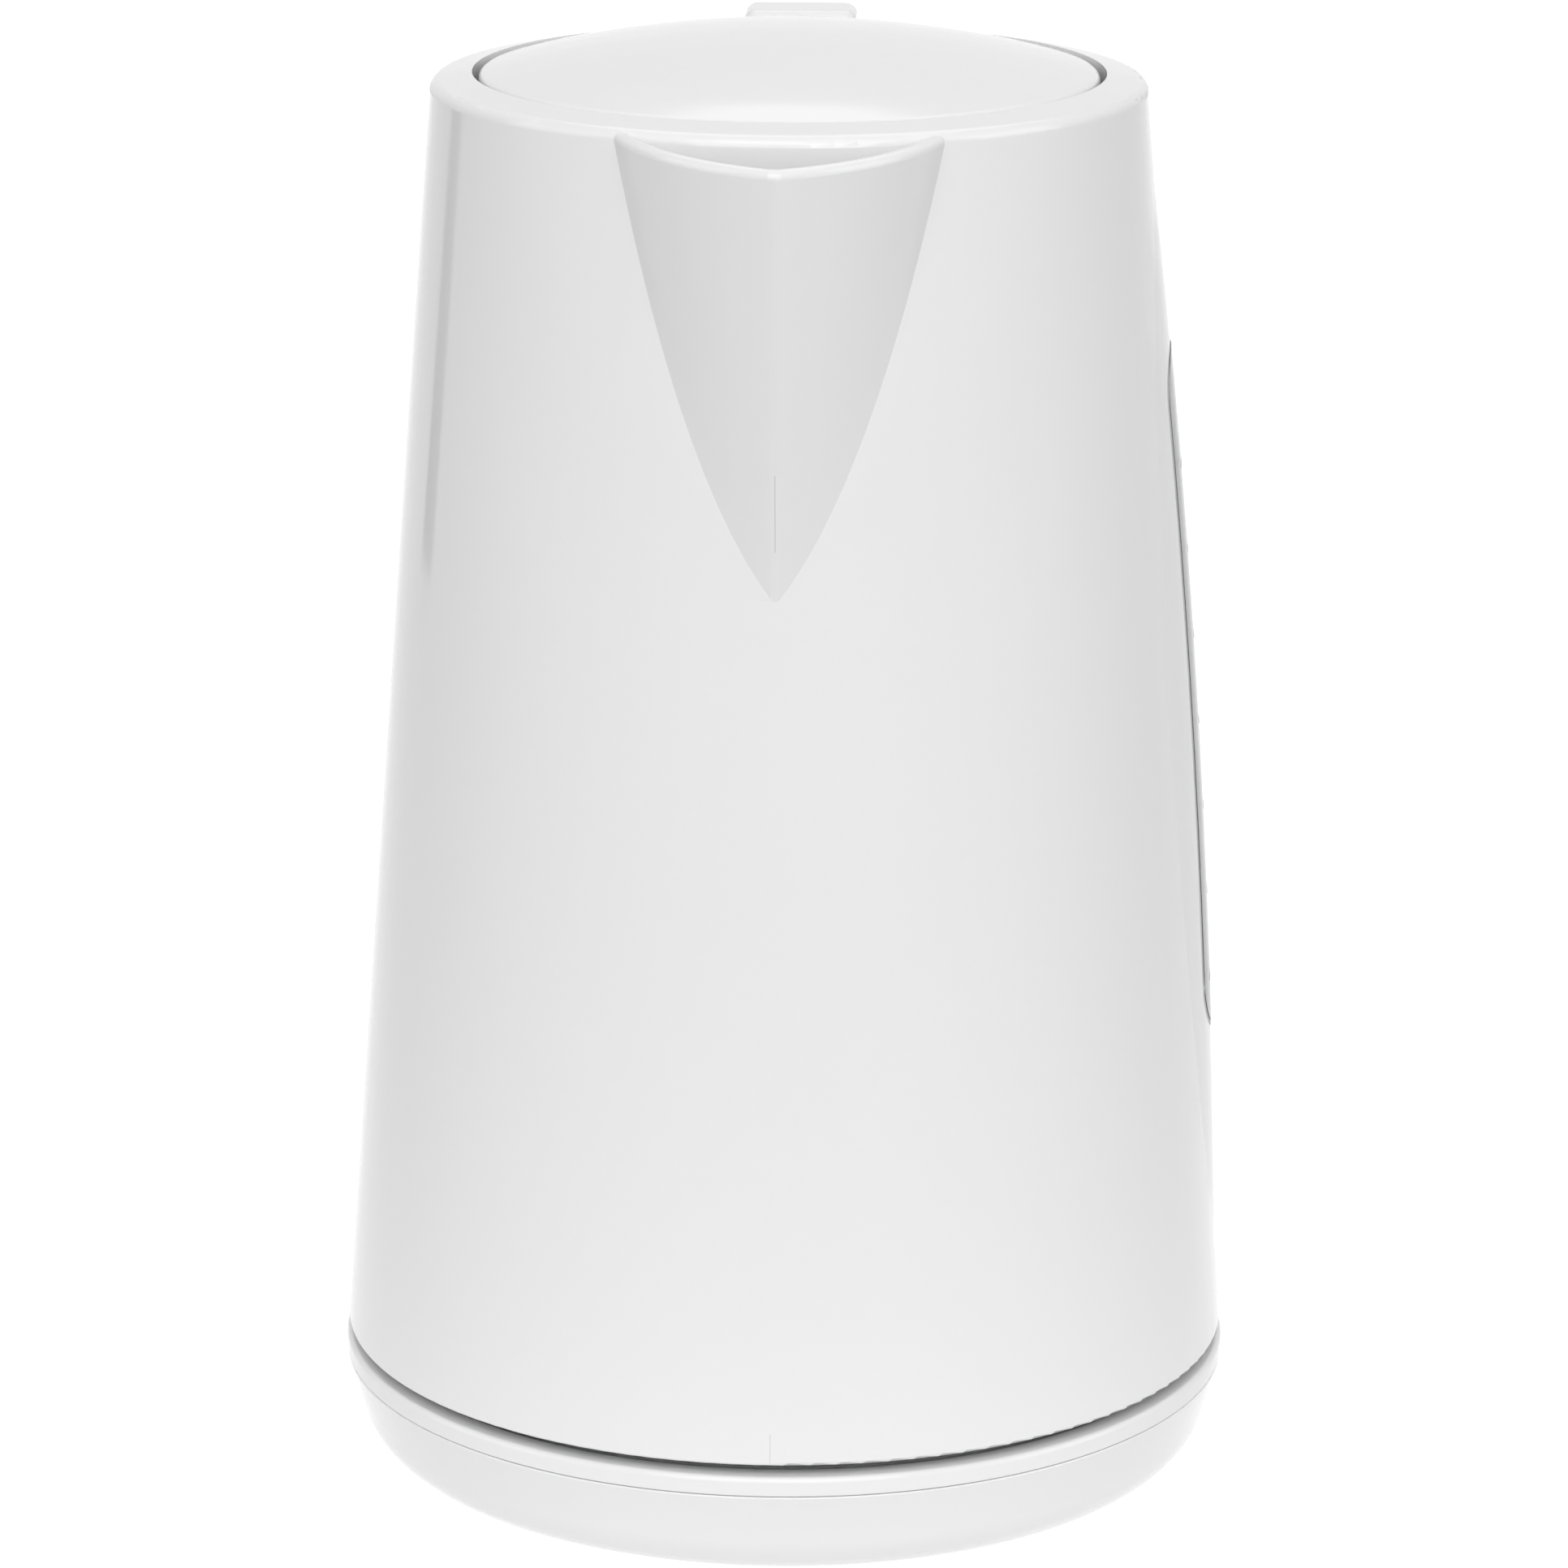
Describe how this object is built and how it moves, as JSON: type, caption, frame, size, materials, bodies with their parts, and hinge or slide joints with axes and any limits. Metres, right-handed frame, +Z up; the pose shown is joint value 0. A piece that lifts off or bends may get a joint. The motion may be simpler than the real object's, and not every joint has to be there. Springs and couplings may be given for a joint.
{
  "type": "electric kettle",
  "caption": "Cordless electric kettle: white conical jug with V spout, hinged domed lid, side water gauge and D handle on a round power base.",
  "frame": {"origin": "on the table under the swivel axis, at the centre of the base's rubber foot ring", "axes": "+Z up along the swivel axis, -Y towards the spout, +Y towards the handle, +X towards the water gauge"},
  "size_m": [0.1524, 0.203, 0.2459],
  "materials": {
    "white_gloss": "polished white moulding",
    "grey_window": "clear smoke-grey plastic",
    "grey_rubber": "soft matte",
    "silicone": "satin silicone",
    "dark_plastic": "fine matte",
    "grey_plastic": "satin",
    "mesh": "fine nylon weave",
    "brass": "bare contact metal",
    "steel": "bright steel",
    "aluminium": "cast and drawn"
  },
  "bodies": {
    "base": {"base_lower_shell": "white_gloss", "base_upper_shell": "white_gloss", "base_connector": "dark_plastic", "connector_contacts": "brass", "base_foot_ring": "grey_rubber", "base_screws": "steel"},
    "socket": {"jug_socket": "dark_plastic", "socket_pins": "brass"},
    "jug": {"jug_body": "white_gloss", "gauge_gasket": "grey_rubber", "gauge_window": "grey_window", "spout_filter_frame": "grey_plastic", "filter_mesh": "mesh", "heating_plate": "steel", "plate_seal": "silicone", "plate_clamp_ring": "steel", "heat_spreader": "aluminium", "heating_element": "aluminium", "control_unit": "dark_plastic", "underside_cover": "grey_plastic", "cover_screws": "steel", "handle_frame": "white_gloss", "handle_cover": "white_gloss", "handle_screws": "steel", "steam_tube": "grey_plastic", "steam_switch": "dark_plastic", "bimetal_disc": "steel", "switch_pin": "steel", "latch_spring": "steel", "lid_hinge_pin": "steel", "lid_spring": "steel"},
    "lid": {"lid_cover": "white_gloss", "lid_base": "white_gloss"},
    "button": {"release_button": "white_gloss"},
    "latch": {"lid_latch": "grey_plastic"},
    "switch": {"switch_lever": "grey_plastic"}
  },
  "joints": [
    {"name": "jug_lift", "type": "slide", "parent": "base", "child": "socket", "axis": [0, 0, 1], "range_m": [0, 0.12]},
    {"name": "jug_swivel", "type": "hinge", "parent": "socket", "child": "jug", "pos_m": [0, 0, 0.022], "axis": [0, 0, 1], "continuous": true},
    {"name": "lid_hinge", "type": "hinge", "parent": "jug", "child": "lid", "pos_m": [0, 0.045, 0.2354], "axis": [-1, 0, 0], "range_deg": [0, 85], "deforming": ["lid_spring"]},
    {"name": "button_press", "type": "slide", "parent": "jug", "child": "button", "axis": [0, 0, -1], "range_m": [0, 0.003], "stiffness_N_per_m": 500, "springref_m": -0.001},
    {"name": "latch_slide", "type": "slide", "parent": "jug", "child": "latch", "axis": [0, 1, 0], "range_m": [0, 0.003], "deforming": ["latch_spring"]},
    {"name": "switch_rock", "type": "hinge", "parent": "jug", "child": "switch", "pos_m": [0, 0.0929, 0.04437], "axis": [1, 0, 0], "range_deg": [-7, 7]}
  ],
  "couplings": [
    {"joint": "latch_slide", "follows": "button_press", "ratio": 1}
  ]
}
